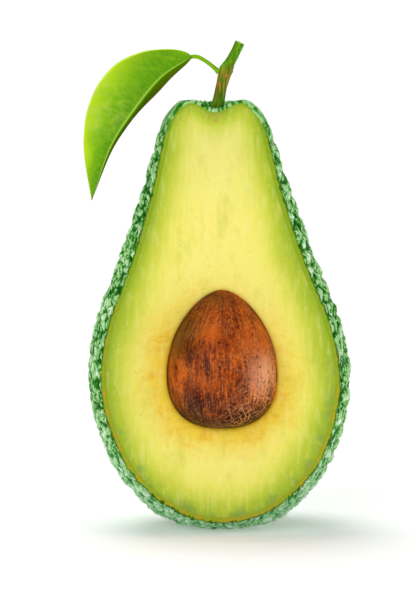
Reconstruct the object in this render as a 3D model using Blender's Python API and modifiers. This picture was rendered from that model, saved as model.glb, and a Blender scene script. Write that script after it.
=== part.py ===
"""Half an avocado with its seed, stem and leaf, standing on its blossom end.

Blender 4.5, metres, +Z up. The origin is the centre of the flat foot, and the cut face looks along -Y.
"""

import math

import bmesh
import bpy
import numpy as np
from mathutils import Vector

# ---- driving dimensions ------------------------------------------------------------------------------

FRUIT_HEIGHT = 0.1100       # foot to the shoulders round the stem
GIRTH_RADIUS = 0.0338       # half the greatest width
FOOT_RADIUS = 0.0070        # the small flat spot that the fruit rests on
SKIN = 0.0012               # thickness of the peel
GAP = 0.0003                # clearance between pieces that touch
AROUND = 40                 # faces round the fruit

# the outer outline from the dimple to the foot, as (share of the girth radius, share of the height)
OUTLINE = [
    (0.000, 0.967), (0.078, 0.968), (0.112, 0.972), (0.131, 0.981), (0.152, 0.991), (0.180, 0.998),
    (0.220, 1.000),
    (0.288, 0.992), (0.383, 0.957), (0.471, 0.882), (0.593, 0.766), (0.757, 0.626),
    (0.932, 0.487), (1.000, 0.368), (0.956, 0.255), (0.829, 0.150), (0.629, 0.068),
    (0.444, 0.022),
]

LEAN = -0.019               # sideways lean of the fruit's centre line, per metre of height
BODY_FORWARD = 0.0015       # the body's centre line is this far in front of the foot's centre
NECK_FORWARD = 0.0110       # and the top of the neck bends this much further forward
NECK_START = 0.038
FOOT_BLEND = 0.030          # height over which the foot's centre runs into the body's

CUT_Y = -0.0164             # plane of the cut face

SEED_RADIUS = 0.0141
SEED_ABOVE = 0.0225         # from the seed's widest section up to its point
SEED_BELOW = 0.01355        # and down to its blunt end
SEED_POINTED = 0.68         # power that draws the upper end in to a point
SEED_BLUNT = 2.2            # powers that fill the lower end out
SEED_FLAT = 0.38            # and flatten it
SEED_CENTRE = Vector((-0.0004, CUT_Y + 0.0025, 0.0406))

# (x, y behind the cut plane, z) along the stem, the leaf's stalk and the leaf's midrib, with the radii
STEM_PATH = [
    ((-0.0019, 0.0038, 0.1069), 0.00115), ((-0.0017, 0.0038, 0.1078), 0.00160),
    ((-0.0011, 0.0038, 0.1107), 0.00150), ((-0.0005, 0.0039, 0.1139), 0.00143),
    ((0.0002, 0.0039, 0.1167), 0.00165), ((0.0008, 0.0039, 0.1186), 0.00168),
    ((0.0018, 0.0040, 0.1207), 0.00130), ((0.0030, 0.0041, 0.1226), 0.00120),
    ((0.0043, 0.0041, 0.1245), 0.00120),
]
PETIOLE_PATH = [
    ((-0.0017, 0.0038, 0.1175), 0.00070), ((-0.0028, 0.0035, 0.1188), 0.00055),
    ((-0.0046, 0.0031, 0.1200), 0.00050), ((-0.0065, 0.0027, 0.1209), 0.00050),
    ((-0.0084, 0.0023, 0.1209), 0.00050), ((-0.0110, 0.0018, 0.1194), 0.00046),
]
LEAF_MIDRIB = [
    (-0.0081, 0.0021, 0.1209), (-0.0159, 0.0012, 0.1158), (-0.0226, 0.0004, 0.1078),
    (-0.0286, 0.0003, 0.0982), (-0.0331, 0.0019, 0.0848),
]
LEAF_HALF_WIDTH = 0.0113
LEAF_FOLD = math.radians(80)   # how far the inner half of the blade is folded back
LEAF_THICKNESS = 0.0006
LEAF_SPREAD = (0.9, 1.35)   # how fast the blade widens from its base and narrows to its tip

SKIN_FINISH = ((0.10, 0.42, 0.16), 0.42)   # colour and roughness
FLESH_FINISH = ((0.85, 0.80, 0.25), 0.38)
SEED_FINISH = ((0.30, 0.09, 0.03), 0.40)
STEM_FINISH = ((0.24, 0.33, 0.08), 0.55)
LEAF_FINISH = ((0.28, 0.52, 0.03), 0.38)


# ---- helpers -----------------------------------------------------------------------------------------

def clear_scene():
    for thing in list(bpy.data.objects):
        bpy.data.objects.remove(thing, do_unlink=True)


def new_collection(name, hidden=False):
    group = bpy.data.collections.new(name)
    group.hide_render = hidden
    bpy.context.scene.collection.children.link(group)
    return group


def new_material(name, colour, roughness):
    material = bpy.data.materials.new(name)
    material.use_nodes = True
    shader = material.node_tree.nodes["Principled BSDF"]
    shader.inputs["Base Color"].default_value = (*colour, 1.0)
    shader.inputs["Roughness"].default_value = roughness
    shader.inputs["Metallic"].default_value = 0.0
    return material


def link(name, mesh, group, material=None):
    thing = bpy.data.objects.new(name, mesh)
    group.objects.link(thing)
    if material:
        mesh.materials.clear()
        mesh.materials.append(material)
        mesh.shade_smooth()
        mesh.set_sharp_from_angle(angle=math.radians(35))
    return thing


def hide_as_cutter(thing):
    thing.hide_render = True
    thing.display_type = "WIRE"


def curve_through(points, per_span):
    """A Catmull-Rom curve through the points, with per_span steps between each two."""
    points = np.array(points, float)
    ends = np.vstack([2 * points[0] - points[1], points, 2 * points[-1] - points[-2]])
    steps = np.linspace(0, 1, per_span, endpoint=False)[:, None]
    spans = []
    for a, b, c, d in zip(ends, ends[1:], ends[2:], ends[3:]):
        spans.append(0.5 * (2 * b + (c - a) * steps + (2 * a - 5 * b + 4 * c - d) * steps ** 2
                            + (3 * b - a - 3 * c + d) * steps ** 3))
    return np.vstack([*spans, points[-1:]])


def turned(profile, around):
    """The closed mesh that a profile of (radius, height) points makes when it turns about Z."""
    mesh = bpy.data.meshes.new("profile")
    edges = [(i, i + 1) for i in range(len(profile) - 1)]
    mesh.from_pydata([(radius, 0.0, height) for radius, height in profile], edges, [])
    thing = bpy.data.objects.new("profile", mesh)
    bpy.context.scene.collection.objects.link(thing)
    screw = thing.modifiers.new("Screw", "SCREW")
    screw.steps = screw.render_steps = around
    screw.use_merge_vertices = True
    screw.merge_threshold = 0.00001
    return made_mesh(thing)


def made_mesh(thing):
    """The evaluated mesh of a helper object, welded. The helper is removed."""
    graph = bpy.context.evaluated_depsgraph_get()
    mesh = bpy.data.meshes.new_from_object(thing.evaluated_get(graph))
    bpy.data.objects.remove(thing, do_unlink=True)
    work = bmesh.new()
    work.from_mesh(mesh)
    bmesh.ops.remove_doubles(work, verts=work.verts, dist=0.00001)
    work.to_mesh(mesh)
    work.free()
    return mesh


def vectors_of(items, field):
    values = np.empty(len(items) * 3)
    items.foreach_get(field, values)
    return values.reshape(-1, 3)


def points_of(mesh):
    return vectors_of(mesh.vertices, "co")


def set_points(mesh, points):
    mesh.vertices.foreach_set("co", points.astype(np.float32).ravel())
    mesh.update()


def tube(name, stations, per_span, bevel_resolution=2):
    """A closed mesh along a smooth curve through stations, each ((x, y behind the cut plane, z), radius)."""
    path = curve_through([(x, CUT_Y + behind, z, radius) for (x, behind, z), radius in stations], per_span)
    curve = bpy.data.curves.new(name, "CURVE")
    curve.dimensions = "3D"
    curve.bevel_depth = 1.0
    curve.bevel_resolution = bevel_resolution
    curve.use_fill_caps = True
    spline = curve.splines.new("POLY")
    spline.points.add(len(path) - 1)
    for point, (x, y, z, radius) in zip(spline.points, path):
        point.co = (x, y, z, 1.0)
        point.radius = radius
    thing = bpy.data.objects.new(name, curve)
    bpy.context.scene.collection.objects.link(thing)
    return made_mesh(thing)


def cut(thing, cutter, operation="DIFFERENCE"):
    boolean = thing.modifiers.new(cutter.name, "BOOLEAN")
    boolean.operation = operation
    boolean.object = cutter
    hide_as_cutter(cutter)


# ---- fruit -------------------------------------------------------------------------------------------

def bend_fruit(points):
    """Moves the points of a turned fruit to where the leaning, bent one has them."""
    x, y, z = points.T
    foot = np.clip(1 - z / FOOT_BLEND, 0, 1) ** 2
    neck = np.clip((z - NECK_START) / (FRUIT_HEIGHT - NECK_START), 0, None) ** 2
    forward = BODY_FORWARD * (1 - foot) + NECK_FORWARD * neck
    return np.column_stack([x + LEAN * z, y - forward, z])


def fruit_mesh():
    """The whole fruit's outer surface."""
    outline = [(radius * GIRTH_RADIUS, height * FRUIT_HEIGHT) for radius, height in OUTLINE]
    side = curve_through([*outline, (FOOT_RADIUS, 0.0)], 2)
    side[0, 0] = 0.0
    mesh = turned([*map(tuple, side), (0.0, 0.0)], AROUND)
    set_points(mesh, bend_fruit(points_of(mesh)))
    return mesh


def shrunk(mesh, distance):
    """A copy of a closed mesh whose points are moved inwards along their normals."""
    copy = mesh.copy()
    set_points(copy, points_of(mesh) - vectors_of(mesh.vertex_normals, "vector") * distance)
    return copy


def front_cutter(group):
    """The block in front of the cut plane."""
    size = 2 * FRUIT_HEIGHT
    mesh = bpy.data.meshes.new("front_cutter")
    work = bmesh.new()
    bmesh.ops.create_cube(work, size=size)
    bmesh.ops.translate(work, verts=work.verts, vec=(0, CUT_Y - size / 2, FRUIT_HEIGHT / 2))
    work.to_mesh(mesh)
    work.free()
    return link("front_cutter", mesh, group)


def make_skin(group, outer, cutter):
    skin = link("skin", outer, group, new_material("skin", *SKIN_FINISH))
    shell = skin.modifiers.new("Peel", "SOLIDIFY")
    shell.thickness = SKIN
    shell.offset = -1
    shell.use_even_offset = True
    cut(skin, cutter)


def make_flesh(group, outer, cutter, hollow):
    flesh = link("flesh", shrunk(outer, SKIN + GAP), group, new_material("flesh", *FLESH_FINISH))
    cut(flesh, cutter)
    cut(flesh, hollow)


# ---- seed --------------------------------------------------------------------------------------------

def seed_mesh(extra=0.0):
    """The egg-shaped seed, pointed above and blunt below, grown all round by extra."""
    turn = np.linspace(0, math.pi, 16)
    share = np.cos(turn)
    above = np.maximum(1 - share ** 2, 0) ** SEED_POINTED
    below = np.maximum(1 - np.abs(share) ** SEED_BLUNT, 0) ** SEED_FLAT
    radius = np.where(share > 0, above, below) * (SEED_RADIUS + extra)
    height = share * (np.where(share > 0, SEED_ABOVE, SEED_BELOW) + extra)
    radius[[0, -1]] = 0.0
    mesh = turned(list(zip(radius, height)), 28)
    set_points(mesh, points_of(mesh) + np.array(SEED_CENTRE))
    return mesh


def make_seed(group):
    link("seed", seed_mesh(), group, new_material("seed", *SEED_FINISH))


# ---- stem and leaf -----------------------------------------------------------------------------------

def make_stem(group):
    link("stem", tube("stem", STEM_PATH, 2, 3), group, new_material("stem", *STEM_FINISH))


def blade_mesh():
    """The leaf's blade as an open grid: its outer half faces forward, its inner half is folded back."""
    rib = curve_through(LEAF_MIDRIB, 5) + (0, CUT_Y, 0)
    along = np.linspace(0.01, 0.995, len(rib))
    grow, narrow = LEAF_SPREAD
    widest = grow / (grow + narrow)
    width = LEAF_HALF_WIDTH * (along / widest) ** grow * ((1 - along) / (1 - widest)) ** narrow
    run = np.gradient(rib, axis=0)
    run /= np.linalg.norm(run, axis=1)[:, None]
    outer = np.cross(run, (0.0, 1.0, 0.0))
    outer /= np.linalg.norm(outer, axis=1)[:, None]
    outer *= np.sign(outer[:, 2:])
    inner = -outer * math.cos(LEAF_FOLD) + np.array((0, math.sin(LEAF_FOLD), 0))
    across = np.linspace(-1, 1, 9)
    side = np.where(across[None, :, None] < 0, outer[:, None], inner[:, None])
    points = rib[:, None] + side * (np.abs(across)[None, :] * width[:, None])[..., None]
    rows, columns = points.shape[:2]
    index = np.arange(rows * columns).reshape(rows, columns)
    faces = np.stack([index[:-1, :-1], index[1:, :-1], index[1:, 1:], index[:-1, 1:]], -1).reshape(-1, 4)
    mesh = bpy.data.meshes.new("leaf")
    mesh.from_pydata(points.reshape(-1, 3).tolist(), [], faces.tolist())
    mesh.update()
    return mesh


def make_leaf(group, cutters):
    leaf = link("leaf", blade_mesh(), group, new_material("leaf", *LEAF_FINISH))
    blade = leaf.modifiers.new("Blade", "SOLIDIFY")
    blade.thickness = LEAF_THICKNESS
    blade.offset = 0
    petiole = link("petiole", tube("petiole", PETIOLE_PATH, 3), cutters)
    cut(leaf, petiole, "UNION")


# ---- the whole ---------------------------------------------------------------------------------------

def build():
    clear_scene()
    avocado = new_collection("avocado")
    cutters = new_collection("cutters", hidden=True)
    outer = fruit_mesh()
    front = front_cutter(cutters)
    hollow = link("seed_hollow", seed_mesh(GAP), cutters)
    make_flesh(avocado, outer, front, hollow)
    make_skin(avocado, outer, front)
    make_seed(avocado)
    make_stem(avocado)
    make_leaf(avocado, cutters)


build()
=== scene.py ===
import itertools
import math

import bmesh
import bpy
import numpy as np
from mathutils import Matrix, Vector


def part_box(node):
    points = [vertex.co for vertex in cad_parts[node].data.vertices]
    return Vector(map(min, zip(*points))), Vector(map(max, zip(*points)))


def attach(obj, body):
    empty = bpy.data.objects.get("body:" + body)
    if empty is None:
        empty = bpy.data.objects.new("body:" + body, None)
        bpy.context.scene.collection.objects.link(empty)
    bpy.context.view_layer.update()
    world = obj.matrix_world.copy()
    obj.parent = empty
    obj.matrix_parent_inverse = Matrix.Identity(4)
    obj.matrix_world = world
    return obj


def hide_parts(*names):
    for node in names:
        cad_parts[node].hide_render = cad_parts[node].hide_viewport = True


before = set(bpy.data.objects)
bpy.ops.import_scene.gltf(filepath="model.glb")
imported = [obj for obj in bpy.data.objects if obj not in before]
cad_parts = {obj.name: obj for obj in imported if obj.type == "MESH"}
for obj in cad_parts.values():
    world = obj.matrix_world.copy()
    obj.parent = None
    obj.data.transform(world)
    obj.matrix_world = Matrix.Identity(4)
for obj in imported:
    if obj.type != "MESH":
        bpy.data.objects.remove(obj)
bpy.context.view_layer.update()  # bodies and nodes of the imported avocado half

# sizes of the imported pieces, in metres
skinLow, skinHigh = map(np.array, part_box("skin"))
seedLow, seedHigh = map(np.array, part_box("seed"))
stemLow, stemHigh = map(np.array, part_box("stem"))
leafLow, leafHigh = map(np.array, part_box("leaf"))
cutY = skinLow[1]


# small tools for shapes

def curveThrough(points, perSpan):
    # smooth curve through points: on each span the cubic whose slope at a point is half the step
    # from the point before it to the one after it
    points = np.array(points, float)
    ends = np.vstack([2 * points[0] - points[1], points, 2 * points[-1] - points[-2]])
    step = np.linspace(0, 1, perSpan, endpoint=False)[:, None]
    spans = [0.5 * (2 * b + (c - a) * step + (2 * a - 5 * b + 4 * c - d) * step ** 2
                    + (3 * b - a - 3 * c + d) * step ** 3)
             for a, b, c, d in zip(ends, ends[1:], ends[2:], ends[3:])]
    return np.vstack([*spans, points[-1:]])


def evenly(points, count):
    # the same line with count points at equal steps of its length
    length = np.concatenate([[0], np.cumsum(np.linalg.norm(np.diff(points, axis=0), axis=1))])
    steps = np.linspace(0, length[-1], count)
    return np.column_stack([np.interp(steps, length, column) for column in points.T])


def unit(vectors):
    return vectors / np.linalg.norm(vectors, axis=-1, keepdims=True)


def stepUp(value, low, high):
    # 0 below low, 1 above high, an S curve between
    share = np.clip((value - low) / (high - low), 0, 1)
    return share * share * (3 - 2 * share)


def turns(count):
    # equal angles of one turn
    return np.linspace(0, 2 * math.pi, count, endpoint=False)


def randomAt(cell, seed):
    # a fixed number from 0 to 1 for each whole-number cell: its coordinates times large primes, bits mixed
    mixed = cell[..., 0] * 73856093 ^ cell[..., 1] * 19349663 ^ cell[..., 2] * 83492791 ^ seed * 2971215073
    mixed = (mixed ^ (mixed >> 13)) * 1274126177 & 0xFFFFFFFF
    return ((mixed ^ (mixed >> 16)) & 0xFFFFFF) / 0xFFFFFF


def softNoise(points, size, seed=0):
    # the random numbers at the eight corners of each cell, blended by an S curve of the place in the cell
    spot = points / size
    cell = np.floor(spot).astype(np.int64)
    share = stepUp(spot - cell, 0, 1)
    return sum(np.prod(np.where(corner, share, 1 - share), axis=-1) * randomAt(cell + corner, seed)
               for corner in itertools.product((0, 1), repeat=3))


def pebbleField(points, size, seed=0):
    # distances to the nearest and second nearest of one random centre per cell, in cell sizes
    spot = points / size
    cell = np.floor(spot).astype(np.int64)
    first = second = np.full(len(points), 9.0)
    for offset in itertools.product((-1, 0, 1), repeat=3):
        other = cell + offset
        centre = other + np.stack([randomAt(other, seed + k) for k in (1, 2, 3)], -1)
        far = np.linalg.norm(spot - centre, axis=1)
        second = np.minimum(second, np.maximum(first, far))
        first = np.minimum(first, far)
    return first, second


def gridFaces(numbers):
    # the four corners of every cell of a grid of point numbers, its last column joined to its first
    beside = np.roll(numbers, -1, 1)
    return np.stack([numbers[:-1], numbers[1:], beside[1:], beside[:-1]], -1).reshape(-1, 4).tolist()


def closedRings(rings, ends):
    # a stack of rings, closed at both ends by fans of triangles round the two end points
    numbers = np.arange(rings.size // 3).reshape(rings.shape[:2])
    after = np.roll(numbers, -1, 1)
    points = np.vstack([rings.reshape(-1, 3), ends])
    start = np.full(len(numbers[0]), len(points) - 2)
    fans = np.vstack([np.stack([start, numbers[0], after[0]], -1),
                      np.stack([start + 1, after[-1], numbers[-1]], -1)])
    return points, gridFaces(numbers) + fans.tolist()


def numberedFrom(start, faces):
    return [[corner + start for corner in face] for face in faces]


def joinLoops(first, second, firstAngle, secondAngle):
    # triangles between two lines round the same middle, each in the order of its angles:
    # each step along one line is joined to the last point the other line has reached by then
    def fan(line, other, angle, otherAngle, side):
        ahead = np.roll(angle, -1)
        ahead[-1] += 2 * math.pi
        reached = np.searchsorted(np.append(otherAngle, otherAngle + 2 * math.pi), ahead, side) - 1
        return np.stack([line, np.roll(line, -1), other[reached % len(other)]], -1)
    return np.vstack([fan(first, second, firstAngle, secondAngle, "right"),
                      fan(second, first, secondAngle, firstAngle, "left")]).tolist()


def inOrder(points, chosen):
    # the numbers of the chosen points in the order of their angles round the seed, and those angles
    numbers = np.flatnonzero(chosen)
    across, _, up = (points[numbers] - seedMiddle).T
    angle = np.arctan2(up, across)
    order = np.argsort(angle)
    return numbers[order], angle[order]


def cutBehind(points, faces, plane):
    # what is left of a closed surface behind a plane that faces the front, open at the plane; points
    # nearer to the plane than snap are put on it, so no sliver is left
    snap = 1e-5
    mesh = newMesh("cut", points, faces)
    work = bmesh.new()
    work.from_mesh(mesh)
    bmesh.ops.bisect_plane(work, geom=work.verts[:] + work.edges[:] + work.faces[:], dist=snap,
                           plane_co=(0, plane, 0), plane_no=(0, -1, 0), clear_outer=True)
    work.to_mesh(mesh)
    work.free()
    kept = readVectors(mesh.vertices, "co")
    kept[np.abs(kept[:, 1] - plane) < 1.1 * snap, 1] = plane
    faces = [tuple(face.vertices) for face in mesh.polygons]
    bpy.data.meshes.remove(mesh)
    return kept, faces


def onPlane(points, plane):
    return np.abs(points[:, 1] - plane) < 1e-6


def newMesh(name, points, faces, attributes={}):
    mesh = bpy.data.meshes.new(name)
    mesh.from_pydata(np.reshape(points, (-1, 3)), [], faces)
    for label, values in attributes.items():
        writeLayer(mesh, label, values)
    return mesh


def rework(mesh, change=None):
    # makes a change to the mesh, then turns every face outwards
    work = bmesh.new()
    work.from_mesh(mesh)
    if change:
        change(work)
    bmesh.ops.recalc_face_normals(work, faces=work.faces)
    work.to_mesh(mesh)
    work.free()


def readVectors(items, field):
    values = np.empty(len(items) * 3)
    items.foreach_get(field, values)
    return values.reshape(-1, 3)


def writeLayer(mesh, label, values):
    values = np.asarray(values, np.float32)
    kind, field = ("FLOAT", "value") if values.size == len(mesh.vertices) else ("FLOAT_VECTOR", "vector")
    layer = mesh.attributes.get(label) or mesh.attributes.new(label, kind, "POINT")
    layer.data.foreach_set(field, values.ravel())


def place(mesh, material, node):
    # puts a finished piece in the scene, on the one body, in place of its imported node
    piece = bpy.data.objects.new(mesh.name, mesh)
    bpy.context.scene.collection.objects.link(piece)
    mesh.materials.append(material)
    mesh.shade_smooth()
    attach(piece, "root")
    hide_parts(node)
    print("made", mesh.name, "with", len(mesh.loops) - 2 * len(mesh.polygons), "triangles")


# small tools for materials

def tint(red, green, blue):
    # screen colour 0-255 to light: each channel as a share, raised to the power 2.2
    return (*((channel / 255) ** 2.2 for channel in (red, green, blue)), 1.0)


def newMaterial(name, **values):
    # a material whose shader sockets hold the values given: coatWeight sets Coat Weight
    material = bpy.data.materials.new(name)
    material.use_nodes = True
    shader = material.node_tree.nodes["Principled BSDF"]
    sockets = {socket.name.replace(" ", "").lower(): socket for socket in shader.inputs}
    for key, value in values.items():
        sockets[key.lower()].default_value = value
    return material, material.node_tree, shader


def fill(socket, value):
    # a socket's id_data is the node tree it belongs to
    if isinstance(value, bpy.types.NodeSocket):
        socket.id_data.links.new(value, socket)
    else:
        socket.default_value = value


def add(tree, kind, sockets={}, **settings):
    node = tree.nodes.new(kind)
    for key, value in settings.items():
        setattr(node, key, value)
    for key, value in sockets.items():
        fill(node.inputs[key], value)
    return node


def objectPlace(tree, scale=(1, 1, 1), turn=(0, 0, 0)):
    source = add(tree, "ShaderNodeTexCoord").outputs["Object"]
    return add(tree, "ShaderNodeMapping", {"Vector": source, "Scale": scale, "Rotation": turn}).outputs[0]


def readLayer(tree, label, output="Fac"):
    return add(tree, "ShaderNodeAttribute", attribute_name=label).outputs[output]


def noise(vector, scale, detail=3.0, rough=0.5, bend=0.0):
    sockets = {"Vector": vector, "Scale": scale, "Detail": detail, "Roughness": rough, "Distortion": bend}
    return add(vector.id_data, "ShaderNodeTexNoise", sockets).outputs["Fac"]


def ramp(factor, stops, look={}):
    # stops are pairs of a place and a grey value, a colour, or a colour's name in look
    node = add(factor.id_data, "ShaderNodeValToRGB", {"Fac": factor})
    band = node.color_ramp
    while len(band.elements) < len(stops):
        band.elements.new(0.5)
    for element, (spot, colour) in zip(band.elements, stops):
        colour = look.get(colour, colour)
        element.position = spot
        element.color = colour if np.size(colour) == 4 else (colour, colour, colour, 1.0)
    return node.outputs["Color"]


def between(value, low, high):
    # 0 where value is at low, 1 where it is at high, clipped
    sockets = {"Value": value, "From Min": low, "From Max": high}
    return add(value.id_data, "ShaderNodeMapRange", sockets).outputs[0]


def mixColour(factor, first, second):
    sockets = {0: factor, 6: first, 7: second}
    return add(factor.id_data, "ShaderNodeMix", sockets, data_type="RGBA").outputs[2]


def paint(look, colour, coats):
    # coats laid on one after another, each given as its cover, from 0 to 1, and its colour's name
    for cover, shade in coats:
        colour = mixColour(cover, colour, look[shade])
    return colour


def alongLine(vector, direction):
    # how far a place lies along a direction: their dot product
    return add(vector.id_data, "ShaderNodeVectorMath", {0: vector, 1: direction},
               operation="DOT_PRODUCT").outputs["Value"]


def sums(operation, *values):
    return add(values[0].id_data, "ShaderNodeMath", dict(enumerate(values)), operation=operation).outputs[0]


def scaled(value, factor, more):
    return sums("MULTIPLY_ADD", value, factor, more)


def times(first, second):
    return sums("MULTIPLY", first, second)


def plus(first, second):
    return sums("ADD", first, second)


def swing(value, size):
    # a noise from 0 to 1 as an amount from minus half of size to plus half of it
    return times(sums("SUBTRACT", value, 0.5), size)


def contour(value, level, width):
    # thin lines where a noise passes a level: 1 on the line, 0 at width from it
    return between(sums("ABSOLUTE", sums("SUBTRACT", value, level)), width, 0.0)


def spotShade(tree, middle, size, amount=1.0):
    # amount at a place in the piece, falling to 0 at the distance size
    far = add(tree, "ShaderNodeVectorMath", {0: objectPlace(tree), 1: tuple(map(float, middle))},
              operation="DISTANCE").outputs["Value"]
    sockets = {"Value": far, "From Min": 0.0, "From Max": size, "To Min": amount, "To Max": 0.0}
    return add(tree, "ShaderNodeMapRange", sockets, interpolation_type="SMOOTHSTEP").outputs[0]


def setShader(shader, colour, roughness, normal):
    for label, value in (("Base Color", colour), ("Roughness", roughness), ("Normal", normal)):
        fill(shader.inputs[label], value)


def bump(relief, distance, strength=1.0, below=None):
    sockets = {"Height": relief, "Distance": distance, "Strength": strength}
    if below:
        sockets["Normal"] = below
    return add(relief.id_data, "ShaderNodeBump", sockets).outputs["Normal"]


# the fruit's own shape

fruit = {
    # from the dimple to the foot: share of the greatest radius, share of the height
    "outline": [(0.000, 0.967), (0.078, 0.968), (0.112, 0.972), (0.131, 0.981), (0.152, 0.991),
                (0.180, 0.998), (0.220, 1.000), (0.288, 0.992), (0.383, 0.957), (0.471, 0.882),
                (0.593, 0.766), (0.757, 0.626), (0.932, 0.487), (1.000, 0.368), (0.956, 0.255),
                (0.829, 0.150), (0.629, 0.068), (0.444, 0.022), (0.207, 0.000)],
    "girthShare": 0.368,  # share of the height where the fruit is widest
    "neckForward": 0.100,  # how far the top bends to the front, share of the height
    "neckStart": 0.3455,
    "footBlend": 0.2727,  # share of the height over which the foot's centre runs into the body's
    "peel": 0.0012,  # thickness of the peel
}
height = skinHigh[2]
radius = (skinHigh[0] - skinLow[0]) / 2
lean = (skinHigh[0] + skinLow[0]) / 2 / (fruit["girthShare"] * height)
forward = radius - skinHigh[1]


def fruitProfile(count, inset=0.0):
    # outline from the dimple's middle to the foot's middle, as (radius, height), moved inwards by inset
    side = curveThrough(fruit["outline"], 12) * (radius, height)
    side = evenly(np.vstack([side, (0.0, 0.0)]), 900)
    run = unit(np.gradient(side, axis=0))
    side = side + np.column_stack([run[:, 1], -run[:, 0]]) * inset
    side = side[side[:, 0] > 0]
    ends = side[[0, -1]] * (0, 1)
    return evenly(np.vstack([ends[:1], side, ends[1:]]), count)


def middleOf(z):
    # where the fruit's middle line is at a height: a sideways lean, the body a little in front of the
    # foot, and the neck bent to the front by the square of its height
    foot = np.clip(1 - z / (fruit["footBlend"] * height), 0, 1) ** 2
    neck = np.clip((z / height - fruit["neckStart"]) / (1 - fruit["neckStart"]), 0, None) ** 2
    return lean * z, -forward * (1 - foot) - fruit["neckForward"] * height * neck


def turnedFruit(rows, columns, inset=0.0):
    # the outline turned about the middle line, as a closed grid with a point at each pole
    side = fruitProfile(rows, inset)
    turn = turns(columns)
    r, z = side[1:-1, :1], side[1:-1, 1:] + 0 * turn
    x, y = middleOf(z)
    rings = np.stack([x + r * np.cos(turn), y + r * np.sin(turn), z], -1)
    poles = side[[0, -1], 1]
    return closedRings(rings, np.column_stack([*middleOf(poles), poles]))


def loopAt(angle, loop, count):
    # a line round the seed's middle, given as points, as its distances at count equal angles
    order = np.argsort(angle)
    return np.interp(np.linspace(-math.pi, math.pi, count, endpoint=False), angle[order], loop[order],
                     period=2 * math.pi)


def cutLine(inset, count):
    # distances from the seed's middle to where the inset fruit meets the cut plane: half of a ring's
    # chord there is the root of its radius squared less its middle's distance from the plane squared
    side = fruitProfile(4000, inset)
    x, y = middleOf(side[:, 1])
    half = side[:, 0] ** 2 - (cutY - y) ** 2
    reached = half > 0
    half, x, z = np.sqrt(half[reached]), x[reached], side[reached, 1] - seedMiddle[2]
    across = np.concatenate([x + half, x - half]) - seedMiddle[0]
    up = np.concatenate([z, z])
    return loopAt(np.arctan2(up, across), np.hypot(up, across), count)


# seed

seedLook = {
    "above": 0.6241,  # share of the height above the widest section
    "pointed": 0.68,  # power that draws the top in
    "blunt": 2.2, "flat": 0.38,  # powers that fill the bottom out and flatten it
    "rows": 170, "columns": 240,
    "dent": 0.0006,  # hollow in the blunt end
    "swell": 0.0005, "grain": 0.00008,
    "specular": 0.12,
    # streaks and hairs follow the seed's length; the others are scales of the pattern in space
    "streaks": 3.2, "fine": 26, "hairs": 32, "mottle": 1500, "blotches": 170, "cracks": 640,
    "dark": tint(54, 15, 7), "deep": tint(92, 32, 8), "body": tint(148, 62, 14), "orange": tint(208, 98, 22),
    "blush": tint(240, 166, 122), "vein": tint(240, 160, 96), "olive": tint(92, 66, 12),
    # olive at the upper left, partly a painted reflection of the green flesh, orange in the middle, a pale
    # painted highlight on the right, dark low on the left, partly painted shade: place from the seed's
    # middle, size, amount, colour
    "patches": [((-0.0105, -0.0050, 0.0100), 0.0120, 0.85, "olive"),
                ((-0.0020, -0.0050, 0.0205), 0.0062, 0.60, "olive"),
                ((0.0085, -0.0090, 0.0085), 0.0085, 0.75, "orange"),
                ((-0.0030, -0.0120, 0.0105), 0.0050, 0.85, "orange"),
                ((-0.0040, -0.0130, -0.0010), 0.0045, 0.60, "orange"),
                ((0.0112, -0.0095, 0.0005), 0.0090, 0.78, "blush"),
                ((-0.0060, -0.0115, -0.0068), 0.0082, 1.00, "dark")],
}
seedRadius = (seedHigh[1] - seedLow[1]) / 2
seedMiddle = (seedLow + seedHigh) / 2
seedMiddle[2] = seedHigh[2] - seedLook["above"] * (seedHigh[2] - seedLow[2])
seedAbove = seedHigh[2] - seedMiddle[2]
seedBelow = seedMiddle[2] - seedLow[2]


def seedReach(share):
    # radius at a height given as a share from -1, the blunt end, to 1, the point
    above = np.maximum(1 - share ** 2, 0) ** seedLook["pointed"]
    below = np.maximum(1 - np.abs(share) ** seedLook["blunt"], 0) ** seedLook["flat"]
    return np.where(share > 0, above, below) * seedRadius


def seedLine(count, extra):
    # the seed's outline in the cut plane, grown by extra, as distances from its middle at equal angles
    share = np.cos(np.linspace(0, math.pi, 1600))
    half = np.sqrt(np.maximum(seedReach(share) ** 2 - (seedMiddle[1] - cutY) ** 2, 0)) + extra
    up = share * np.where(share > 0, seedAbove, seedBelow)
    up, half = up[half > extra], half[half > extra]
    up, half = np.concatenate([up, up]), np.concatenate([half, -half])
    return loopAt(np.arctan2(up, half), np.hypot(up, half), count)


def makeSeed():
    # a turned egg: rings of the radius that seedReach gives, on a slow swell and a fine grain
    look = seedLook
    share = np.cos(np.linspace(0, math.pi, look["rows"]))[1:-1, None]
    turn = turns(look["columns"])
    reach = seedReach(share)
    rise = share * np.where(share > 0, seedAbove, seedBelow) + 0 * turn
    rings = np.stack([reach * np.cos(turn), reach * np.sin(turn), rise], -1)
    points, faces = closedRings(rings, [(0, 0, seedAbove), (0, 0, -seedBelow)])
    dent = stepUp(-points[:, 2] / seedBelow, 0.7, 1.0) * np.exp(-(np.hypot(*points.T[:2]) / 0.0036) ** 2)
    points[:, 2] += look["dent"] * dent
    wave = look["swell"] * (softNoise(points, 0.0085, 5) - 0.6)
    grain = look["grain"] * (softNoise(points * (1, 1, 0.4), 0.0011, 6) - 0.5)
    points = points + unit(points) * (wave + grain)[:, None]
    around = np.arctan2(points[:, 1], points[:, 0])
    lines = np.stack([np.cos(around), np.sin(around), points[:, 2] / seedAbove * 0.16], -1)
    mesh = newMesh("seedCoat", points + seedMiddle, faces, {"meridian": lines})
    rework(mesh)
    place(mesh, seedMaterial(), "seed")


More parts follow.
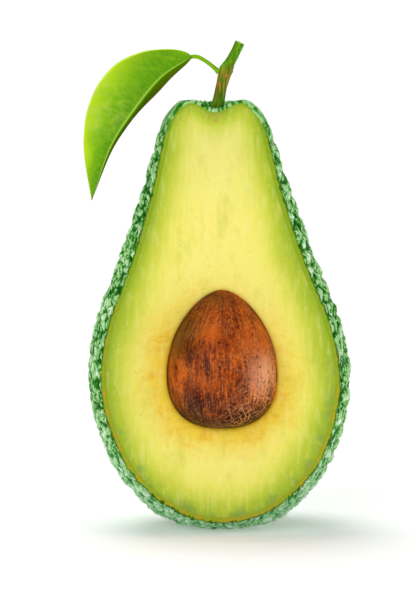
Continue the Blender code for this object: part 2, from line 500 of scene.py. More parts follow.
def seedMaterial():
    look = seedLook
    material, tree, shader = newMaterial("seedCoat", specularIorLevel=look["specular"])
    spot, lengthwise = objectPlace(tree), readLayer(tree, "meridian", "Vector")
    streaks = noise(lengthwise, look["streaks"], 5, 0.66, 0.8)
    fine = noise(lengthwise, look["fine"], 4, 0.7)
    grain = noise(spot, look["mottle"], 4, 0.75)
    blotches = noise(objectPlace(tree, (1, 1, 0.7)), look["blotches"], 5, 0.62, 0.6)
    broad = scaled(blotches, 0.6, times(streaks, 0.4))
    mottled = plus(broad, plus(swing(grain, 0.62), swing(fine, 0.42)))
    colour = ramp(mottled, [(0.32, "dark"), (0.42, "deep"), (0.50, "body"), (0.54, "body"),
                            (0.63, "orange")], look)
    # the patches, among them a painted highlight, a painted reflection and painted shade
    for middle, size, amount, shade in look["patches"]:
        ragged = between(mottled, 0.66 if shade == "dark" else 0.34, 0.50)
        cover = times(spotShade(tree, seedMiddle + middle, size, amount), ragged)
        colour = paint(look, colour, [(cover, shade)])
    # a dark foot: painted shade on the seed's underside
    rise = plus(alongLine(spot, (0, 0, 1)), swing(mottled, 0.012))
    foot = between(rise, seedMiddle[2] - 0.0020, seedMiddle[2] - 0.0100)
    colour = paint(look, colour, [(times(foot, 0.97), "dark")])
    # pale hairs along the seed, and a net of short cracks low down and on the right
    hairs = contour(noise(lengthwise, look["hairs"], 3, 0.6, 0.6), 0.5, 0.022)
    hairs = times(hairs, between(noise(spot, 150, 3), 0.38, 0.56))
    warp = add(tree, "ShaderNodeTexNoise", {"Vector": spot, "Scale": 600, "Detail": 2}).outputs["Color"]
    bent = add(tree, "ShaderNodeVectorMath", {0: warp, 1: (0.0018, 0.0018, 0.0018), 2: spot},
               operation="MULTIPLY_ADD").outputs["Vector"]
    cells = add(tree, "ShaderNodeTexVoronoi", {"Vector": bent, "Scale": look["cracks"]},
                feature="DISTANCE_TO_EDGE").outputs["Distance"]
    low = between(alongLine(spot, (-1.5, 0, 1)), seedMiddle[2] - 0.005, seedMiddle[2] - 0.015)
    net = times(between(cells, 0.090, 0.0), low)
    net = times(net, between(noise(spot, 330, 3, 0.6), 0.36, 0.54))
    lines = sums("MAXIMUM", times(hairs, 0.55), times(net, 0.80))
    colour = paint(look, colour, [(lines, "vein")])
    relief = bump(lines, 0.00008, 0.5, bump(grain, 0.00010, 0.5))
    setShader(shader, colour, ramp(mottled, [(0.40, 0.55), (0.62, 0.40)]), relief)
    return material


# peel

peelLook = {
    "rows": 286, "columns": 398,  # grid of the outer side
    "innerRows": 90, "innerColumns": 150,
    "rimRows": (0.05, 0.2, 0.45, 0.75, 0.97),  # the rim's rows, from its outer edge to its inner
    "lump": 0.0040, "pebble": 0.0017,  # sizes of the large lumps and of the pebbles on them
    "lumpRelief": 0.00075, "pebbleRelief": 0.00045,  # from a furrow to the top
    "rounding": 0.00028, "rough": 0.00006,  # of the cut rim's outer edge, and all over the rim
    "ribs": 30,  # ridges that run into the dimple
    "fine": 1000, "patchy": 380,  # scales of the speckle and of the patches
    # painted light among these colours: dark green painted shade in the furrows, mint and a pale glint
    # painted as highlights on the pebbles, a teal painted shade low down
    "furrow": tint(20, 82, 18), "green": tint(60, 144, 42), "mint": tint(160, 213, 138),
    "wax": tint(234, 248, 230), "teal": tint(70, 150, 110), "edge": tint(74, 112, 24),
    "rimGreen": tint(142, 170, 38), "rimOchre": tint(196, 156, 36), "collar": tint(170, 190, 140),
}


def domes(points, size, seed, share):
    # rounded tops over random cells of a size, 0 in the furrows between them
    warp = np.stack([softNoise(points, 1.8 * size, seed + k) for k in (7, 8, 9)], -1) - 0.5
    first, second = pebbleField(points * (1, 1, 0.8) + warp * 0.9 * size, size, seed)
    return np.clip(stepUp(second - first, 0.0, share) * (1 - 0.3 * first), 0, 1)


def pebbledRelief(points):
    # how high the large lumps and the pebbles stand, each from 0 to 1
    look = peelLook
    lump, pebble = domes(points, look["lump"], 20, 0.45), domes(points, look["pebble"], 40, 0.40)
    pebble = np.clip(0.8 * pebble + 0.35 * (softNoise(points, 0.0007, 31) - 0.3), 0, 1)
    # near the dimple they give way to ridges that run up to it
    x, y = middleOf(points[:, 2])
    x, y = points[:, 0] - x, points[:, 1] - y
    top = stepUp(points[:, 2], 0.90 * height, 0.985 * height) * stepUp(np.hypot(x, y), 0.003, 0.006)
    ribs = 0.5 + 0.5 * np.sin(look["ribs"] * np.arctan2(y, x) + 5 * softNoise(points, 0.004, 34))
    return lump * (1 - 0.8 * top) + 0.4 * top, pebble * (1 - 0.8 * top) + 0.8 * top * ribs


def makePeel():
    look = peelLook
    outer, outerFaces = turnedFruit(look["rows"], look["columns"])
    inner, innerFaces = turnedFruit(look["innerRows"], look["innerColumns"], fruit["peel"])
    outer, outerFaces = cutBehind(outer, outerFaces, cutY)
    inner, innerFaces = cutBehind(inner, innerFaces, cutY)
    outerLoop, outerAngle = inOrder(outer, onPlane(outer, cutY))
    innerLoop, innerAngle = inOrder(inner, onPlane(inner, cutY))
    # rows of the cut rim: from the outer edge towards the inner edge's place at the same angle
    towards = np.stack([np.interp(outerAngle, innerAngle, inner[innerLoop, k], period=2 * math.pi)
                        for k in range(3)], -1)
    share = np.array(look["rimRows"])[:, None, None]
    rim = outer[outerLoop] + share * (towards - outer[outerLoop])
    points = np.vstack([outer, inner, rim.reshape(-1, 3)])
    outside = np.concatenate([np.ones(len(outer)), np.zeros(len(inner)),
                              np.repeat(1 - share.ravel(), len(outerLoop))])
    lines = np.vstack([outerLoop, np.arange(len(outer) + len(inner), len(points)).reshape(len(rim), -1)])
    faces = (outerFaces + numberedFrom(len(outer), innerFaces) + gridFaces(lines)
             + joinLoops(lines[-1], innerLoop + len(outer), outerAngle, innerAngle))
    mesh = newMesh("peelSkin", points, faces)
    rework(mesh)
    onRim = onPlane(points, cutY)
    lump, pebble = pebbledRelief(points)
    lift = look["lumpRelief"] * (lump - 0.55) + look["pebbleRelief"] * (pebble - 0.5)
    lift = lift * np.where(onRim, stepUp(outside, 0.4, 1.0), outside) * stepUp(points[:, 2], 0.0, 0.0015)
    out = readVectors(mesh.vertex_normals, "vector")
    out[onRim, 1] = 0
    moved = points + unit(out + 1e-12) * lift[:, None]
    # the rim is a little rounded over at its outer edge and uneven
    rounding = look["rounding"] * outside ** 4 + look["rough"] * softNoise(points, 0.0012, 35)
    moved[onRim, 1] = cutY + rounding[onRim]
    moved[:, 2] = np.maximum(moved[:, 2], 0)
    mesh.vertices.foreach_set("co", moved.ravel())
    for label, values in (("outside", outside), ("lump", lump), ("pebble", pebble)):
        writeLayer(mesh, label, values)
    # the rim's inner edge stays crisp
    ends = np.empty(len(mesh.edges) * 2, int)
    mesh.edges.foreach_get("vertices", ends)
    crisp = (onRim & (outside == 0))[ends.reshape(-1, 2)].all(1)
    mesh.attributes.new("sharp_edge", "BOOLEAN", "EDGE").data.foreach_set("value", crisp)
    mesh.update()
    place(mesh, peelMaterial(), "skin")


def ochreShare(tree):
    # where the cut rim turns ochre: in patches, low on the left, lower still on the right
    spot = objectPlace(tree)
    wavy = plus(alongLine(spot, (0.30, 0, 1)), swing(noise(spot, 160, 2), 0.03))
    patches = between(noise(spot, 650, 3), 0.62, 0.40)
    return times(times(between(wavy, 0.056, 0.038), patches), 0.72)


def peelMaterial():
    look = peelLook
    material, tree, shader = newMaterial("peelSkin")
    spot = objectPlace(tree)
    tall = alongLine(spot, (0, 0, 1))
    lump, pebble, outside = (readLayer(tree, label) for label in ("lump", "pebble", "outside"))
    fine = noise(spot, look["fine"], 3, 0.7, 0.6)
    patchy = noise(objectPlace(tree, (1, 1, 0.75), (0, 0.4, 0)), look["patchy"], 4, 0.65, 0.7)
    lifted = plus(scaled(pebble, 0.50, times(lump, 0.30)),
                  plus(swing(fine, 1.1), swing(patchy, 1.0)))
    # paler low down, painted light on the foot that faces the floor, and calmer near the top where it shows
    # its ridges
    lifted = scaled(between(tall, 0.030, 0.0), 0.16, lifted)
    ridges = plus(scaled(pebble, 0.30, 0.20), swing(patchy, 0.9))
    top = between(tall, 0.094, 0.102)
    lifted = add(tree, "ShaderNodeMix", {0: top, 2: lifted, 3: ridges}).outputs[0]
    # painted light on the pebbles: painted shade, dark green, in the furrows and painted highlights, mint to
    # a pale glint, on their tops, mixed with random speckle
    skin = ramp(lifted, [(0.06, "furrow"), (0.27, "green"), (0.38, "mint"), (0.54, "mint"),
                         (0.70, "wax")], look)
    # a painted teal shade low down on the foot
    skin = paint(look, skin, [(times(between(tall, 0.030, 0.004), 0.35), "teal")])
    # the cut rim: a dark line by the outside, then green or ochre; paler round the stem's foot
    across = plus(outside, swing(noise(spot, 480, 3), 0.7))
    rim = paint(look, look["rimGreen"], [
        (times(ochreShare(tree), between(across, 0.05, 0.35)), "rimOchre"),
        (spotShade(tree, stalkFoot(), 0.0048, 0.9), "collar"), (between(across, 0.66, 0.90), "edge"),
        (between(across, 1.02, 1.12), "mint")])
    # at the very top the peel bends over the rim
    over = times(between(tall, 0.1005, 0.1055), between(across, 0.28, 0.42))
    rim = mixColour(over, rim, skin)
    colour = mixColour(between(outside, 0.97, 0.999), rim, skin)
    fill(shader.inputs["Specular IOR Level"], ramp(lifted, [(0.30, 0.04), (0.55, 0.22)]))
    setShader(shader, colour, ramp(lifted, [(0.1, 0.50), (0.6, 0.28)]), bump(fine, 0.00028, 0.9))
    return material


# pulp

pulpLook = {
    "columns": 480, "rows": 120,
    "backRows": 90, "backColumns": 150,
    "hollowRows": 14,
    "fit": 0.00010,  # gap round the seed at the cut
    "overlap": 0.00003,  # how far the cut face reaches under the peel's rim
    "backGap": 0.00010,  # between the peel and the hidden back
    "backStart": 0.0004,  # from the cut to where the hidden back begins
    "swell": 0.00040, "fibres": 0.00008, "peelDip": 0.00002, "seedDip": 0.00055,  # relief of the cut face
    "bandSpan": 14.0, "goldSpan": 12.0,  # mm from the peel and from the seed that the colours take up
    "bands": [  # distance from the peel in mm, colour
        (0.0, tint(146, 174, 38)), (0.5, tint(154, 182, 38)), (1.4, tint(172, 192, 44)),
        (2.5, tint(190, 204, 56)), (4.1, tint(214, 217, 76)), (6.6, tint(238, 231, 98)),
        (9.2, tint(247, 236, 114)), (13.5, tint(250, 238, 122))],
    "gold": tint(248, 208, 50), "amber": tint(240, 184, 36), "fibre": tint(250, 246, 170),
    "mark": tint(206, 206, 66), "stalkSpot": tint(190, 140, 60), "freckle": tint(190, 180, 60),
    "edgeOchre": tint(196, 160, 42), "grey": tint(116, 150, 66), "neck": tint(214, 212, 146),
}


def nearest(points, line):
    # distance from each point to the nearest point of a line, in steps to keep the arrays small
    return np.concatenate([np.sqrt(((part[:, None] - line[None]) ** 2).sum(-1)).min(1)
                           for part in np.array_split(points, 60)])


def makePulp():
    # the cut face is a grid of rings that run from the seed's outline to the peel's inner line
    look = pulpLook
    columns, rows = look["columns"], look["rows"]
    angle = np.linspace(-math.pi, math.pi, columns, endpoint=False)
    outer, inner = cutLine(fruit["peel"] - look["overlap"], columns), seedLine(columns, look["fit"])
    share = np.linspace(0, 1, rows)[:, None]
    far = inner + share * (outer - inner)
    x, z = seedMiddle[0] + far * np.cos(angle), seedMiddle[2] + far * np.sin(angle)
    flat = np.stack([x, z], -1)
    toPeel = nearest(flat.reshape(-1, 2), flat[-1]).reshape(x.shape)
    toSeed = nearest(flat.reshape(-1, 2), flat[0]).reshape(x.shape)
    # the face dips at the peel, rounds over into the hollow and swells a little between
    spots = np.stack([x, 0 * x, z], -1)
    swell = look["swell"] * (softNoise(spots, 0.011, 51) - 0.5)
    swell += look["fibres"] * (softNoise(spots * (1, 1, 0.3), 0.0022, 52) - 0.5)
    dip = look["peelDip"] * np.exp(-toPeel / 0.0003) + look["seedDip"] * np.exp(-toSeed / 0.00045)
    y = cutY + 0.00004 + dip + swell * stepUp(toPeel, 0, 0.003)
    front = np.stack([x, y, z], -1)
    # the hollow behind the seed: the rim's ring drawn in towards a point at the back
    deep = np.linspace(0, 0.5 * math.pi, look["hollowRows"] + 1)[1:-1, None]
    bottom = seedHigh[1] + 0.0003
    reach = inner * np.cos(deep)
    hollow = np.stack([seedMiddle[0] + reach * np.cos(angle), y[0] + (bottom - y[0]) * np.sin(deep),
                       seedMiddle[2] + reach * np.sin(angle)], -1)
    rings = np.concatenate([front[::-1], hollow])
    numbers = np.arange(rings.size // 3).reshape(-1, columns)
    points = np.vstack([rings.reshape(-1, 3), (seedMiddle[0], bottom, seedMiddle[2])])
    last = numbers[-1]
    fan = np.stack([last, np.full(columns, len(points) - 1), np.roll(last, -1)], -1)
    faces = gridFaces(numbers) + fan.tolist()
    back, backFaces = turnedFruit(look["backRows"], look["backColumns"], fruit["peel"] + look["backGap"])
    behind = cutY + look["backStart"]
    back, backFaces = cutBehind(back, backFaces, behind)
    loop, loopAngle = inOrder(back, onPlane(back, behind))
    faces += numberedFrom(len(points), backFaces)
    faces += joinLoops(np.arange(columns), loop + len(points), angle, loopAngle)
    pad = np.zeros(len(points) + len(back) - toPeel.size)
    # directions away from the seed, drawn out along them, for streaks that fan out from it
    rays = np.stack([1.6 * np.cos(angle) + 0 * far, 1.6 * np.sin(angle) + 0 * far, 22 * far], -1)
    mesh = newMesh("pulp", np.vstack([points, back]), faces,
                   {"toPeel": np.concatenate([toPeel[::-1].ravel(), pad]) * 1000,
                    "toSeed": np.concatenate([toSeed[::-1].ravel(), pad]) * 1000,
                    "rays": np.vstack([rays[::-1].reshape(-1, 3), np.zeros((len(pad), 3))])})
    rework(mesh)
    mesh.set_sharp_from_angle(angle=math.radians(40))
    place(mesh, pulpMaterial(), "flesh")


def pulpMaterial():
    look = pulpLook
    material, tree, shader = newMaterial("pulp", specularIorLevel=0.22)
    spot = objectPlace(tree)
    tall = alongLine(spot, (0, 0, 1))
    toPeel, toSeed = readLayer(tree, "toPeel"), readLayer(tree, "toSeed")
    cloud = noise(spot, 85, 4, 0.55)
    fibre = noise(objectPlace(tree, (1, 1, 0.22)), 800, 3, 0.55)
    streaks = noise(readLayer(tree, "rays", "Vector"), 9, 4, 0.6)
    mottled = noise(spot, 950, 4, 0.7)
    # bands of colour by the distance from the peel, which wander, wider low down and on the right
    wander = plus(swing(cloud, 4.4), swing(fibre, 1.3))
    wander = scaled(between(tall, 0.034, 0.010), -0.7, wander)
    right = between(alongLine(spot, (1, 0, 0)), 0.004, 0.020)
    wander = times(scaled(right, -1.3, wander), between(toPeel, 0.2, 4.2))
    colour = ramp(sums("DIVIDE", plus(toPeel, wander), look["bandSpan"]),
                  [(mm / look["bandSpan"], shade) for mm, shade in look["bands"]])
    # golden round the seed: all of it below, most of it on the left, little at the upper right
    fading = plus(toSeed, plus(swing(cloud, 5.0), swing(streaks, 6.0)))
    near = ramp(sums("DIVIDE", fading, look["goldSpan"]),
                [(0.0, 1.0), (0.27, 0.85), (0.48, 0.35), (0.80, 0.0)])
    slanted = between(alongLine(spot, (0.45, 0, 1)), 0.064, 0.038)
    near = times(near, scaled(slanted, 0.85, 0.15))
    smudges = plus(noise(spot, 230, 4, 0.6, 1.0), swing(streaks, 0.35))
    smudges = times(between(smudges, 0.47, 0.63), times(near, 0.90))
    # short pale fibres in the green zone, soft marks and a few freckles
    dashes = times(between(noise(objectPlace(tree, (1, 1, 0.28)), 1100, 2), 0.62, 0.74),
                   between(noise(spot, 260, 2), 0.50, 0.60))
    marks = noise(objectPlace(tree, (1, 1, 0.5)), 210, 4, 0.6)
    freckles = noise(spot, 1000, 2)
    # grey-green patches by the peel low down, and a dimmer neck
    grey = times(between(noise(spot, 330, 4, 0.6), 0.46, 0.62),
                 times(between(tall, 0.050, 0.030), between(toPeel, 3.4, 0.8)))
    neck = times(between(tall, 0.080, 0.104), between(toPeel, 2.5, 6.5))
    # ochre reaches in from the peel, and brown flecks lie under the stalk
    ochre = times(ochreShare(tree), between(toPeel, 0.5, 0.0))
    flecks = spotShade(tree, stalkFoot() + (-0.0006, cutY - stalkFoot()[1], -0.0004), 0.0032)
    flecks = times(flecks, between(noise(spot, 1500, 3), 0.44, 0.60))
    colour = paint(look, colour, [
        (times(near, between(toPeel, 4.0, 9.0)), "gold"), (smudges, "amber"), (times(dashes, 0.3), "fibre"),
        (ramp(fibre, [(0.50, 0.0), (0.74, 0.22)]), "fibre"),
        (ramp(marks, [(0.53, 0.0), (0.70, 0.42)]), "mark"),
        (ramp(freckles, [(0.68, 0.0), (0.76, 0.30)]), "freckle"), (times(grey, 0.65), "grey"),
        (times(neck, 0.32), "neck"), (ramp(mottled, [(0.52, 0.0), (0.75, 0.10)]), "fibre"),
        (ramp(mottled, [(0.28, 0.14), (0.46, 0.0)]), "mark"), (ochre, "edgeOchre"), (flecks, "stalkSpot")])
    relief = bump(noise(spot, 1100, 3), 0.00006, 0.4, bump(fibre, 0.00010, 0.3))
    setShader(shader, colour, ramp(cloud, [(0.35, 0.36), (0.7, 0.50)]), relief)
    return material


# stem

stemLook = {
    # share of the stem's height, then shares of its width and depth, and the radius in mm
    "path": [(0.000, 0.150, 0.88, 1.25), (0.040, 0.172, 0.88, 1.66), (0.180, 0.240, 0.88, 1.50),
             (0.370, 0.318, 0.89, 1.44), (0.520, 0.402, 0.90, 1.60), (0.612, 0.470, 0.91, 1.70),
             (0.680, 0.540, 0.92, 1.42), (0.740, 0.610, 0.93, 1.28), (0.860, 0.742, 0.94, 1.20),
             (1.000, 0.880, 0.95, 1.22)],
    "rows": 130, "columns": 64,
    "ribs": 0.030, "patches": 0.06, "collar": 0.06,
    "green": tint(62, 122, 0), "bright": tint(106, 164, 2), "brown": tint(108, 88, 30),
    "tan": tint(190, 118, 50), "dark": tint(36, 50, 8), "pith": tint(206, 206, 146),
}
stemAxis = stemLow[1] + 0.5 * (stemHigh[1] - stemLow[1])


def stalkFoot():
    return np.array([stemLow[0] + 0.155 * (stemHigh[0] - stemLow[0]), stemAxis, stemLow[2]])


def sweep(path, radii, columns, shape=1.0):
    # a ring round each point of a path, square to it, of the radius there times the shape
    run = unit(np.gradient(path, axis=0))
    side = unit(np.cross(run, (0.0, 1.0, 0.0)))
    other = np.cross(run, side)
    turn = turns(columns)
    reach = radii[:, None] * shape * np.ones(columns)
    return (path[:, None] + side[:, None] * (reach * np.cos(turn))[..., None]
            + other[:, None] * (reach * np.sin(turn))[..., None])


def closedTube(rings):
    # a tube's rings with two smaller rings and a middle point at each end
    start, end = rings[0].mean(0), rings[-1].mean(0)
    low = np.stack([start + (rings[0] - start) * s for s in (0.4, 0.8)])
    high = np.stack([end + (rings[-1] - end) * s for s in (0.8, 0.4)])
    return closedRings(np.concatenate([low, rings, high]), [start, end])


def makeStem():
    look = stemLook
    span = stemHigh - stemLow
    stations = [(stemLow[0] + x * span[0], stemAxis + (y - 0.9) * 0.5 * span[1],
                 stemLow[2] + 0.0002 + share * (span[2] - 0.0007), r / 1000)
                for share, x, y, r in look["path"]]
    line = evenly(curveThrough(stations, 12), look["rows"])
    along = np.linspace(0, 1, look["rows"])[:, None]
    turn = turns(look["columns"])
    # the radius: shallow ribs, uneven patches and two collars at the joint
    spots = np.stack([np.cos(turn) + 0 * along, np.sin(turn) + 0 * along, 9 * along + 0 * turn], -1)
    ribs = np.sin(7 * turn + 3 * along) + 0.7 * np.sin(12 * turn - 5 * along)
    collars = np.exp(-((along - 0.60) / 0.020) ** 2) + np.exp(-((along - 0.66) / 0.012) ** 2)
    shape = (1 + look["ribs"] * ribs + look["patches"] * (softNoise(spots, 0.55, 61) - 0.5)
             + look["collar"] * collars)
    points, faces = closedTube(sweep(line[:, :3], line[:, 3], look["columns"], shape))
    rise = np.repeat([0, 0, *along.ravel(), 1, 1], look["columns"])
    mesh = newMesh("stemTwig", points, faces, {"along": np.append(rise, [0, 1])})
    rework(mesh)
    place(mesh, stemMaterial(line[:, :3]), "stem")


def stemMaterial(line):
    look = stemLook
    material, tree, shader = newMaterial("stemTwig", specularIorLevel=0.10)
    upright = objectPlace(tree, (1, 1, 0.20), (0, math.radians(14), 0))
    streaks = noise(upright, 1500, 4, 0.6)

    def nearby(share, offset, size, amount):
        # a soft spot near a share of the way up the stem
        return spotShade(tree, line[int(len(line) * share)] + offset, size, amount)

    edge = times(nearby(0.30, (-0.0022, -0.0006, 0), 0.0048, 0.85), between(streaks, 0.35, 0.55))
    scar = times(between(noise(upright, 1500, 3, 0.6), 0.45, 0.55),
                 nearby(0.44, (0.0002, -0.0014, 0), 0.0046, 1.0))
    colour = ramp(streaks, [(0.28, "dark"), (0.40, "green"), (0.60, "bright")], look)
    colour = paint(look, colour, [
        (ramp(noise(upright, 520, 3, 0.6), [(0.54, 0.0), (0.66, 0.7)]), "brown"), (edge, "brown"),
        (scar, "tan"), (nearby(0, (-0.0008, -0.0008, 0.0004), 0.0030, 0.70), "dark"),
        (between(readLayer(tree, "along"), 0.985, 0.995), "pith")])
    setShader(shader, colour, ramp(streaks, [(0.3, 0.65), (0.7, 0.45)]), bump(streaks, 0.00012, 0.6))
    return material


# leaf

leafLook = {
    "rows": 180, "columns": 80,
    "halfWidth": 0.0113,
    # share of the way to the tip, share of the half width
    "widths": [(0.00, 0.06), (0.03, 0.22), (0.07, 0.355), (0.14, 0.540), (0.21, 0.735), (0.29, 0.905),
               (0.37, 0.970), (0.47, 0.965), (0.58, 0.850), (0.69, 0.650), (0.84, 0.350), (0.93, 0.155),
               (1.00, 0.004)],
    "thickness": 0.00035,
    "cup": 0.10, "veins": 0.00005, "margin": 0.00030, "groove": 0.00012,  # hollow across it, and relief
    # the midrib from the stalk to the tip, then the stalk itself, as shares of the leaf's box
    "midrib": [(0.789, 0.10, 0.907), (0.553, 0.05, 0.779), (0.351, 0.02, 0.579), (0.169, 0.02, 0.338),
               (0.030, 0.10, 0.003)],
    "stalk": [(1.000, 0.345, 0.815), (0.950, 0.320, 0.852), (0.894, 0.290, 0.885), (0.838, 0.255, 0.908),
              (0.781, 0.215, 0.905), (0.702, 0.170, 0.868)],
    "foldAngles": (math.radians(76), math.radians(87)),  # near the stalk, from the middle on
    # among these colours: a bright outer edge and a lighter outer half, painted light; a pale painted sheen;
    # painted shade on the folded half
    "rim": tint(204, 244, 60), "lit": tint(180, 220, 22), "body": tint(118, 178, 2),
    "deep": tint(88, 150, 0), "rib": tint(170, 208, 76), "fold": tint(84, 116, 4),
    "foldEdge": tint(112, 104, 34), "bloom": tint(186, 206, 92), "stalkGreen": tint(128, 180, 4),
}


def leafPlace(shares):
    # points given as shares of the leaf's box
    return leafLow + np.array(shares) * (leafHigh - leafLow)


def makeLeaf():
    # across the blade a line turns from flat to folded back over the midrib
    look = leafLook
    rows, columns = look["rows"], look["columns"]
    rib = evenly(curveThrough(leafPlace(look["midrib"]), 20), rows)
    along = np.linspace(0.006, 0.999, rows)
    shares = curveThrough(look["widths"], 12)
    width = look["halfWidth"] * np.interp(along, *shares.T)
    run = unit(np.gradient(rib, axis=0))
    outer = unit(np.cross(run, (0.0, 1.0, 0.0)))
    outer *= np.sign(outer[:, 2:])
    back = np.cross(outer, run)
    back *= np.sign(back[:, 1:2])
    across = np.linspace(-1, 1, columns)
    low, high = look["foldAngles"]
    bend = (low + (high - low) * stepUp(along[:, None], 0.1, 0.5)) * stepUp(across, -0.04, 0.12)
    step = across[1] - across[0]
    middle = np.argmin(np.abs(across))
    flatwise, backwise = (np.cumsum(part, 1) * step for part in (np.cos(bend), np.sin(bend)))
    flatwise, backwise = (part - part[:, [middle]] for part in (flatwise, backwise))
    cup = look["cup"] * across ** 2 * np.where(across < 0, 1, 0.4)
    # side veins as faint waves that run to the tip, a wavy margin and a groove along the midrib
    tall = along[:, None]
    inside = stepUp(np.abs(across), 0.05, 0.3) * stepUp(1 - np.abs(across), 0, 0.2)
    vein = np.sin(tall * 52 - np.abs(across) * 9) * inside
    wave = np.sin(tall * 9 + 1.0) * np.abs(across) ** 3 * stepUp(tall, 0, 0.3) * stepUp(1 - tall, 0, 0.3)
    groove = np.exp(-(across / 0.035) ** 2) * (1 - 0.6 * tall)
    lift = vein * look["veins"] + wave * look["margin"] + groove * look["groove"]
    upper = (rib[:, None] - outer[:, None] * (width[:, None] * flatwise)[..., None]
             + back[:, None] * (width[:, None] * (backwise + cup) + lift)[..., None])
    # the underside: the upper side moved along its directions by a thickness that runs out at the tip
    facing = unit(np.cross(np.gradient(upper, axis=0), np.gradient(upper, axis=1)))
    facing *= np.sign(facing[rows // 2, columns // 4, 1])
    thin = look["thickness"] * (0.12 + 0.88 * stepUp(width / look["halfWidth"], 0.0, 0.4))
    under = upper + facing * thin[:, None, None]
    rings = np.concatenate([upper, under[:, ::-1]], 1)
    points, faces = closedRings(rings, [rings[0].mean(0), rings[-1].mean(0)])
    spread = np.broadcast_to(across, (rows, columns))

    def everywhere(values):
        # the upper side's values, the same for the underside back to front, and the two end points
        return np.append(np.concatenate([values, values[:, ::-1]], 1), [0, 0])

    layers = {"across": everywhere(spread), "vein": everywhere(vein * 0.5 + 0.5),
              "stalk": everywhere(0 * spread)}
    weave = np.stack([tall + 0 * spread, 0.035 * np.abs(spread), 0 * spread], -1)
    weave = np.concatenate([weave, weave[:, ::-1]], 1).reshape(-1, 3)
    mesh = newMesh("leafBlade", points, faces, {**layers, "weave": np.vstack([weave, weave[:2]])})
    rework(mesh, addStalk)
    place(mesh, leafMaterial(), "leaf")


def addStalk(work):
    # joins the stalk's tube to the blade
    share = np.linspace(0, 1, 60)
    line = evenly(curveThrough(leafPlace(leafLook["stalk"]), 12), 60)
    radii = 0.00050 + 0.00035 * np.exp(-share / 0.06) - 0.00016 * stepUp(share, 0.75, 1.0)
    points, faces = closedTube(sweep(line, radii, 24))
    ones = np.ones(len(points))
    layers = {"across": 0 * ones, "vein": 0.5 * ones, "stalk": ones, "weave": points * 20}
    tube = newMesh("stalk", points, faces, layers)
    work.from_mesh(tube)
    bpy.data.meshes.remove(tube)


def leafMaterial():
    look = leafLook
    material, tree, shader = newMaterial("leafBlade", specularIorLevel=0.12)
    spot = objectPlace(tree)
    across, vein = readLayer(tree, "across"), readLayer(tree, "vein")
    mottled = noise(spot, 150, 4, 0.6)
    threads = noise(readLayer(tree, "weave", "Vector"), 95, 3, 0.6)
    # painted light: the blade lighter towards its outer edge, darker towards the midrib
    spread = plus(scaled(across, 0.5, 0.5), swing(mottled, 0.30))
    colour = ramp(spread, [(0.00, "lit"), (0.05, "lit"), (0.26, "body"), (0.44, "deep"),
                           (0.60, "deep")], look)
    # a pale painted sheen on the blade's left part
    bloom = times(between(noise(spot, 420, 4, 0.7), 0.42, 0.66),
                  spotShade(tree, leafPlace((0.10, 0.1, 0.60)), 0.0120, 0.55))
    colour = paint(look, colour, [
        (spotShade(tree, leafPlace((0.58, 0.1, 0.92)), 0.0150, 0.90), "deep"),
        (spotShade(tree, leafPlace((0.06, 0.1, 0.04)), 0.0120, 0.80), "deep"),
        # a painted rim light along the outer edge
        (between(across, -0.940, -0.975), "rim"), (bloom, "bloom"),
        (ramp(threads, [(0.45, 0.0), (0.75, 0.28)]), "lit"), (ramp(vein, [(0.75, 0.0), (1.0, 0.12)]), "lit"),
        # painted shade on the half folded back over the midrib, browner towards its edge
        (between(across, 0.02, 0.10), "fold"), (between(across, 0.55, 0.95), "foldEdge"),
        (times(contour(across, 0.0, 0.034), 0.90), "rib"), (readLayer(tree, "stalk"), "stalkGreen")])
    fill(shader.inputs["Specular IOR Level"], ramp(across, [(0.0, 0.12), (0.06, 0.0)]))
    setShader(shader, colour, ramp(mottled, [(0.3, 0.50), (0.7, 0.40)]),
              bump(threads, 0.00008, 0.5, bump(vein, 0.00010, 0.4)))
    return material


# floor, light and camera

studio = {
    "floorSize": 60.0, "floor": (0.86, 0.86, 0.86, 1.0), "floorGlow": 0.24,
    "worldLight": 0.27, "backdrop": 1.02,
    # where each sun shines from, its power, its width in degrees
    "suns": {"keyLight": ((-0.47, -0.81, 0.34), 1.18, 50.0),  # front left, low
             "topLight": ((-0.19, 0.29, 0.94), 1.75, 40.0)},  # above, a little behind
    "sideFrom": (0.75, -0.16, 0.16), "sidePower": 2.0, "sideWide": 0.35, "sideTall": 0.45,  # on the right
    "cameraSide": -0.99, "cameraRise": 3.33,  # degrees round the object and above the horizon
    "cameraFar": 0.640, "lens": 150.3,
    "lookAt": (-0.00469, cutY + 0.0081, 0.05925),
}


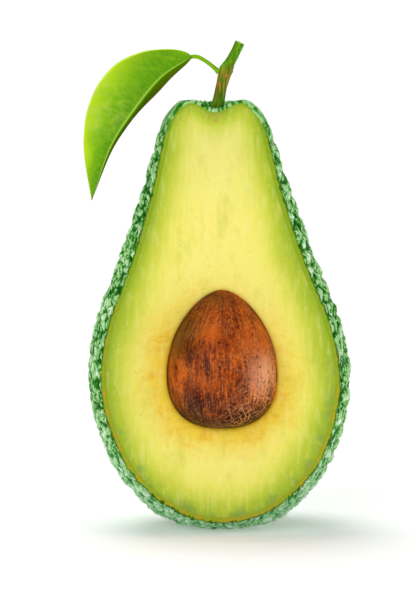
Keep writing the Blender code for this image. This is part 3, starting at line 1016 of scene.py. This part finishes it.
def makeFloor():
    corners = np.array([(-1, -1, 0), (1, -1, 0), (1, 1, 0), (-1, 1, 0)]) * studio["floorSize"] / 2
    mesh = newMesh("floor", corners, [(0, 1, 2, 3)])
    floor = bpy.data.objects.new("floor", mesh)
    bpy.context.scene.collection.objects.link(floor)
    material = newMaterial("floor", baseColor=studio["floor"], roughness=1.0, specularIorLevel=0.0,
                           emissionColor=(1, 1, 1, 1), emissionStrength=studio["floorGlow"])[0]
    mesh.materials.append(material)


def aim(thing, target):
    thing.rotation_euler = (Vector(target) - thing.location).to_track_quat("-Z", "Y").to_euler()


def makeLight(name, kind, spot, power, **settings):
    light = bpy.data.lights.new(name, kind)
    light.energy = power
    for key, value in settings.items():
        setattr(light, key, value)
    lamp = bpy.data.objects.new(name, light)
    lamp.location = spot
    bpy.context.scene.collection.objects.link(lamp)
    aim(lamp, (0, 0, 0))


def makeLights():
    world = bpy.data.worlds.new("studio")
    bpy.context.scene.world = world
    world.use_nodes = True
    tree = world.node_tree
    seen = add(tree, "ShaderNodeLightPath").outputs["Is Camera Ray"]
    strength = scaled(seen, studio["backdrop"] - studio["worldLight"], studio["worldLight"])
    sockets = tree.nodes["Background"].inputs
    fill(sockets["Strength"], strength)
    fill(sockets["Color"], (1, 1, 1, 1))
    for name, (source, power, width) in studio["suns"].items():
        makeLight(name, "SUN", source, power, angle=math.radians(width))
    makeLight("sideLight", "AREA", studio["sideFrom"], studio["sidePower"], shape="RECTANGLE",
              size=studio["sideWide"], size_y=studio["sideTall"])



def makeCamera():
    lens = bpy.data.cameras.new("camera")
    lens.lens = studio["lens"]
    lens.sensor_width = 36
    lens.clip_start = 0.01
    side, rise = math.radians(studio["cameraSide"]), math.radians(studio["cameraRise"])
    away = np.array([math.sin(side) * math.cos(rise), -math.cos(side) * math.cos(rise), math.sin(rise)])
    camera = bpy.data.objects.new("camera", lens)
    camera.location = np.array(studio["lookAt"]) + away * studio["cameraFar"]
    bpy.context.scene.collection.objects.link(camera)
    aim(camera, studio["lookAt"])
    bpy.context.scene.camera = camera
    bpy.context.scene.view_settings.view_transform = "Standard"


makePeel()
makePulp()
makeSeed()
makeStem()
makeLeaf()
makeFloor()
makeLights()
makeCamera()
